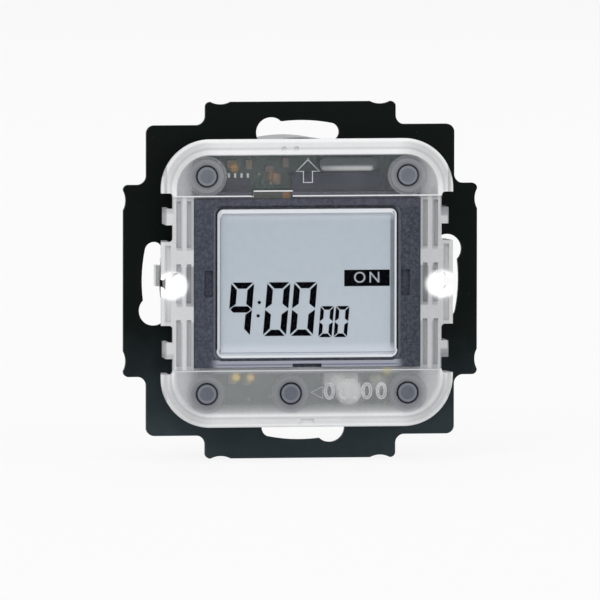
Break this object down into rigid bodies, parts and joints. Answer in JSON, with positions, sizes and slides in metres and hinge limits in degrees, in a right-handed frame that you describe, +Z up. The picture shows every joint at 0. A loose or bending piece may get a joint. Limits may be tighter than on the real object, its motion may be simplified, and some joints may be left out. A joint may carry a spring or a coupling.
{
  "type": "flush-mounted timer switch",
  "caption": "Flush-mounted timer switch insert: display and small buttons in a frosted clear cover, on a black square support plate with expanding claws and a round terminal housing.",
  "frame": {"origin": "centre of the support plate's rear face, in the plane of the wall", "axes": "+X to the right seen from the front, +Z up, the front looks along -Y and +Y points into the wall"},
  "size_m": [0.071, 0.0374, 0.071],
  "materials": {
    "black_steel": "black passivated sheet steel, satin",
    "frosted_cover": "frosted clear moulding with polished rim",
    "frosted_frame": "frosted clear moulding",
    "bezel_black": "fine satin moulding",
    "window_clear": "clear, lightly satin",
    "display_glass": "grey-blue display glass",
    "reflector_foil": "matt foil",
    "contact_rubber": "banded contact rubber",
    "board_green": "green solder resist",
    "switch_case": "black switch case",
    "chip_black": "moulded chip",
    "crystal_can": "drawn can",
    "ceramic_tan": "ceramic",
    "cell_dark": "dark sleeve",
    "spacer_white": "natural plastic",
    "plug_black": "plug body",
    "zinc_steel": "zinc plated",
    "button_grey": "soft grey cap",
    "claw_steel": "zinc plated sheet steel",
    "housing_grey": "light grey moulding",
    "lid_grey": "dark grey moulding",
    "relay_black": "relay case",
    "film_yellow": "epoxy filled case",
    "can_sleeve": "shrunk sleeve",
    "varistor_blue": "dipped coating",
    "resistor_body": "coated body",
    "diode_black": "moulded body",
    "tinned_brass": "tinned brass strip",
    "cage_steel": "zinc plated"
  },
  "bodies": {
    "body": {"support_plate": "black_steel", "front_cover": "frosted_cover", "module_frame": "frosted_frame", "display_carrier": "bezel_black", "display_window": "window_clear", "lcd_panel": "display_glass", "lcd_reflector": "reflector_foil", "contact_strips": "contact_rubber", "display_board": "board_green", "button_switches": "switch_case", "memory_chip": "chip_black", "main_chip": "chip_black", "crystal": "crystal_can", "chip_capacitors": "ceramic_tan", "backup_cell": "cell_dark", "spacer_post": "spacer_white", "board_header": "plug_black", "header_socket": "plug_black", "board_screws": "zinc_steel", "module_screws": "zinc_steel", "rear_housing": "housing_grey", "housing_lid": "lid_grey", "housing_screws": "zinc_steel", "power_board": "board_green", "relay": "relay_black", "film_capacitor": "film_yellow", "storage_capacitor": "can_sleeve", "varistor": "varistor_blue", "safety_resistor": "resistor_body", "rectifier_diodes": "diode_black", "terminal_bars": "tinned_brass"},
    "button_top_left_body": {"button_top_left": "button_grey"},
    "button_top_right_body": {"button_top_right": "button_grey"},
    "button_bottom_left_body": {"button_bottom_left": "button_grey"},
    "button_bottom_middle_body": {"button_bottom_middle": "button_grey"},
    "button_bottom_right_body": {"button_bottom_right": "button_grey"},
    "claw_screw_left_body": {"claw_screw_left": "zinc_steel"},
    "claw_screw_right_body": {"claw_screw_right": "zinc_steel"},
    "claw_nut_left_body": {"claw_nut_left": "claw_steel"},
    "claw_nut_right_body": {"claw_nut_right": "claw_steel"},
    "claw_left_body": {"claw_left": "claw_steel"},
    "claw_right_body": {"claw_right": "claw_steel"},
    "terminal_cage_1_body": {"terminal_cage_1": "cage_steel"},
    "terminal_screw_1_body": {"terminal_screw_1": "zinc_steel"},
    "terminal_cage_2_body": {"terminal_cage_2": "cage_steel"},
    "terminal_screw_2_body": {"terminal_screw_2": "zinc_steel"},
    "terminal_cage_3_body": {"terminal_cage_3": "cage_steel"},
    "terminal_screw_3_body": {"terminal_screw_3": "zinc_steel"},
    "terminal_cage_4_body": {"terminal_cage_4": "cage_steel"},
    "terminal_screw_4_body": {"terminal_screw_4": "zinc_steel"}
  },
  "joints": [
    {"name": "button_top_left_press", "type": "slide", "parent": "body", "child": "button_top_left_body", "axis": [0, 1, 0], "range_m": [0, 0.0005], "stiffness_N_per_m": 300},
    {"name": "button_top_right_press", "type": "slide", "parent": "body", "child": "button_top_right_body", "axis": [0, 1, 0], "range_m": [0, 0.0005], "stiffness_N_per_m": 300},
    {"name": "button_bottom_left_press", "type": "slide", "parent": "body", "child": "button_bottom_left_body", "axis": [0, 1, 0], "range_m": [0, 0.0005], "stiffness_N_per_m": 300},
    {"name": "button_bottom_middle_press", "type": "slide", "parent": "body", "child": "button_bottom_middle_body", "axis": [0, 1, 0], "range_m": [0, 0.0005], "stiffness_N_per_m": 300},
    {"name": "button_bottom_right_press", "type": "slide", "parent": "body", "child": "button_bottom_right_body", "axis": [0, 1, 0], "range_m": [0, 0.0005], "stiffness_N_per_m": 300},
    {"name": "claw_screw_left_turn", "type": "hinge", "parent": "body", "child": "claw_screw_left_body", "pos_m": [-0.025, 0, 0], "axis": [0, 1, 0], "range_deg": [0, 3456]},
    {"name": "claw_nut_left_travel", "type": "slide", "parent": "body", "child": "claw_nut_left_body", "axis": [0, -1, 0], "range_m": [0, 0.0048]},
    {"name": "claw_left_swing", "type": "hinge", "parent": "body", "child": "claw_left_body", "pos_m": [-0.0236, 0.0032, 0], "axis": [0, 0, 1], "range_deg": [0, 18]},
    {"name": "claw_screw_right_turn", "type": "hinge", "parent": "body", "child": "claw_screw_right_body", "pos_m": [0.025, 0, 0], "axis": [0, 1, 0], "range_deg": [0, 3456]},
    {"name": "claw_nut_right_travel", "type": "slide", "parent": "body", "child": "claw_nut_right_body", "axis": [0, -1, 0], "range_m": [0, 0.0048]},
    {"name": "claw_right_swing", "type": "hinge", "parent": "body", "child": "claw_right_body", "pos_m": [0.0236, 0.0032, 0], "axis": [0, 0, -1], "range_deg": [0, 18]},
    {"name": "terminal_screw_1_turn", "type": "hinge", "parent": "body", "child": "terminal_screw_1_body", "pos_m": [-0.0123, 0.016, -0.0178], "axis": [0, -1, 0], "range_deg": [0, 1368]},
    {"name": "terminal_cage_1_lift", "type": "slide", "parent": "body", "child": "terminal_cage_1_body", "axis": [0, 1, 0], "range_m": [0, 0.0019]},
    {"name": "terminal_screw_2_turn", "type": "hinge", "parent": "body", "child": "terminal_screw_2_body", "pos_m": [-0.0041, 0.016, -0.0178], "axis": [0, -1, 0], "range_deg": [0, 1368]},
    {"name": "terminal_cage_2_lift", "type": "slide", "parent": "body", "child": "terminal_cage_2_body", "axis": [0, 1, 0], "range_m": [0, 0.0019]},
    {"name": "terminal_screw_3_turn", "type": "hinge", "parent": "body", "child": "terminal_screw_3_body", "pos_m": [0.0041, 0.016, -0.0178], "axis": [0, -1, 0], "range_deg": [0, 1368]},
    {"name": "terminal_cage_3_lift", "type": "slide", "parent": "body", "child": "terminal_cage_3_body", "axis": [0, 1, 0], "range_m": [0, 0.0019]},
    {"name": "terminal_screw_4_turn", "type": "hinge", "parent": "body", "child": "terminal_screw_4_body", "pos_m": [0.0123, 0.016, -0.0178], "axis": [0, -1, 0], "range_deg": [0, 1368]},
    {"name": "terminal_cage_4_lift", "type": "slide", "parent": "body", "child": "terminal_cage_4_body", "axis": [0, 1, 0], "range_m": [0, 0.0019]}
  ],
  "couplings": [
    {"joint": "claw_screw_left_turn", "follows": "claw_nut_left_travel", "rad_per_m": 12566},
    {"joint": "claw_left_swing", "follows": "claw_nut_left_travel", "rad_per_m": 65.443},
    {"joint": "claw_screw_right_turn", "follows": "claw_nut_right_travel", "rad_per_m": 12566},
    {"joint": "claw_right_swing", "follows": "claw_nut_right_travel", "rad_per_m": 65.443},
    {"joint": "terminal_screw_1_turn", "follows": "terminal_cage_1_lift", "rad_per_m": 12566},
    {"joint": "terminal_screw_2_turn", "follows": "terminal_cage_2_lift", "rad_per_m": 12566},
    {"joint": "terminal_screw_3_turn", "follows": "terminal_cage_3_lift", "rad_per_m": 12566},
    {"joint": "terminal_screw_4_turn", "follows": "terminal_cage_4_lift", "rad_per_m": 12566}
  ]
}
